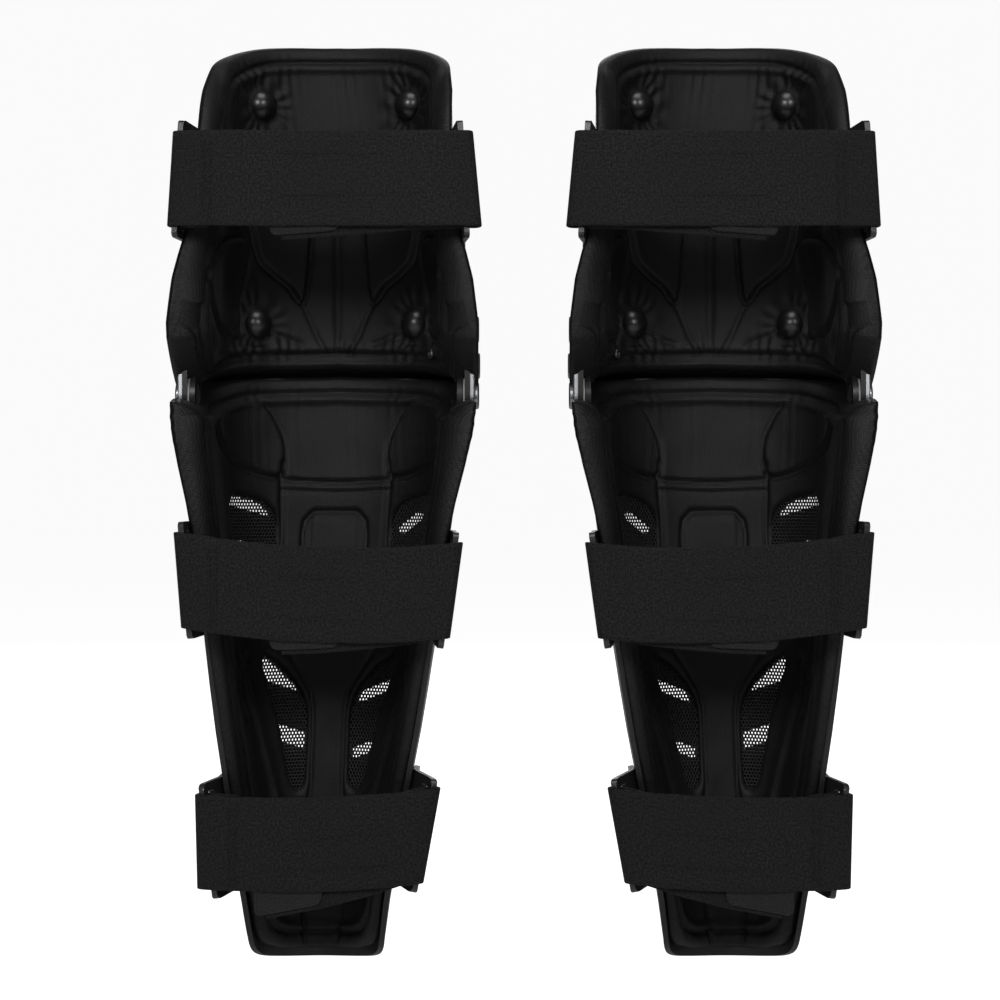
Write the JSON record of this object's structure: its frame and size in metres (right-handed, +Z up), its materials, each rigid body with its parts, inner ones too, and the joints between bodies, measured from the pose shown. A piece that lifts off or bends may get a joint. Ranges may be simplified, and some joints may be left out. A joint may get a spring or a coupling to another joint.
{
  "type": "hinged motorcycle knee and shin guards",
  "caption": "Pair of long hinged knee and shin guards: padded trough liners in hard shells, a pivoting knee cup, and elastic straps across the open back.",
  "frame": {"origin": "midway between the two guards at the height of their lower ends, in the plane of the ankle's centre line", "axes": "+Z up the leg, +Y to the wearer's front, +X to the wearer's right"},
  "size_m": [0.3788, 0.1323, 0.5215],
  "materials": {
    "shell": "satin",
    "plate": "matt",
    "cup": "satin",
    "loop": "satin",
    "arm": "satin",
    "steel": "satin",
    "washer": "matt",
    "dome": "gloss",
    "liner": "knitted cloth over foam",
    "mesh": "open net",
    "webbing": "woven elastic",
    "hook": "hook tape"
  },
  "bodies": {
    "left_shin": {"left_shin_shell": "shell", "left_shin_plate": "plate", "left_shin_plate_screws": "steel", "left_shin_liner": "liner", "left_shin_mesh": "mesh", "left_middle_loop_outer": "loop", "left_middle_loop_inner": "loop", "left_lower_loop_outer": "loop", "left_lower_loop_inner": "loop", "left_shin_loop_rivets": "steel", "left_middle_strap": "webbing", "left_lower_strap": "webbing", "left_shin_strap_patches": "hook"},
    "left_knee": {"left_knee_cup": "cup", "left_knee_arm_outer": "arm", "left_knee_arm_inner": "arm", "left_knee_cup_rivets": "steel", "left_pivot_rivets": "steel", "left_pivot_washers": "washer", "left_knee_liner": "liner", "left_knee_domes": "dome"},
    "left_thigh": {"left_thigh_shell": "shell", "left_thigh_liner": "liner", "left_thigh_domes": "dome", "left_upper_loop_outer": "loop", "left_upper_loop_inner": "loop", "left_thigh_loop_rivets": "steel", "left_upper_strap": "webbing", "left_upper_strap_patch": "hook"},
    "right_shin": {"right_shin_shell": "shell", "right_shin_plate": "plate", "right_shin_plate_screws": "steel", "right_shin_liner": "liner", "right_shin_mesh": "mesh", "right_middle_loop_outer": "loop", "right_middle_loop_inner": "loop", "right_lower_loop_outer": "loop", "right_lower_loop_inner": "loop", "right_shin_loop_rivets": "steel", "right_middle_strap": "webbing", "right_lower_strap": "webbing", "right_shin_strap_patches": "hook"},
    "right_knee": {"right_knee_cup": "cup", "right_knee_arm_outer": "arm", "right_knee_arm_inner": "arm", "right_knee_cup_rivets": "steel", "right_pivot_rivets": "steel", "right_pivot_washers": "washer", "right_knee_liner": "liner", "right_knee_domes": "dome"},
    "right_thigh": {"right_thigh_shell": "shell", "right_thigh_liner": "liner", "right_thigh_domes": "dome", "right_upper_loop_outer": "loop", "right_upper_loop_inner": "loop", "right_thigh_loop_rivets": "steel", "right_upper_strap": "webbing", "right_upper_strap_patch": "hook"}
  },
  "joints": [
    {"name": "left_low_pivot", "type": "hinge", "parent": "left_shin", "child": "left_knee", "pos_m": [-0.107, -0.008, 0.318], "axis": [1, 0, 0], "range_deg": [0, 50]},
    {"name": "left_high_pivot", "type": "hinge", "parent": "left_knee", "child": "left_thigh", "pos_m": [-0.107, -0.008, 0.354], "axis": [1, 0, 0], "range_deg": [0, 40]},
    {"name": "right_low_pivot", "type": "hinge", "parent": "right_shin", "child": "right_knee", "pos_m": [0.107, -0.008, 0.318], "axis": [1, 0, 0], "range_deg": [0, 50]},
    {"name": "right_high_pivot", "type": "hinge", "parent": "right_knee", "child": "right_thigh", "pos_m": [0.107, -0.008, 0.354], "axis": [1, 0, 0], "range_deg": [0, 40]},
    {"name": "pair_spacing", "type": "slide", "parent": "left_shin", "child": "right_shin", "axis": [1, 0, 0], "range_m": [0, 0.3]}
  ]
}
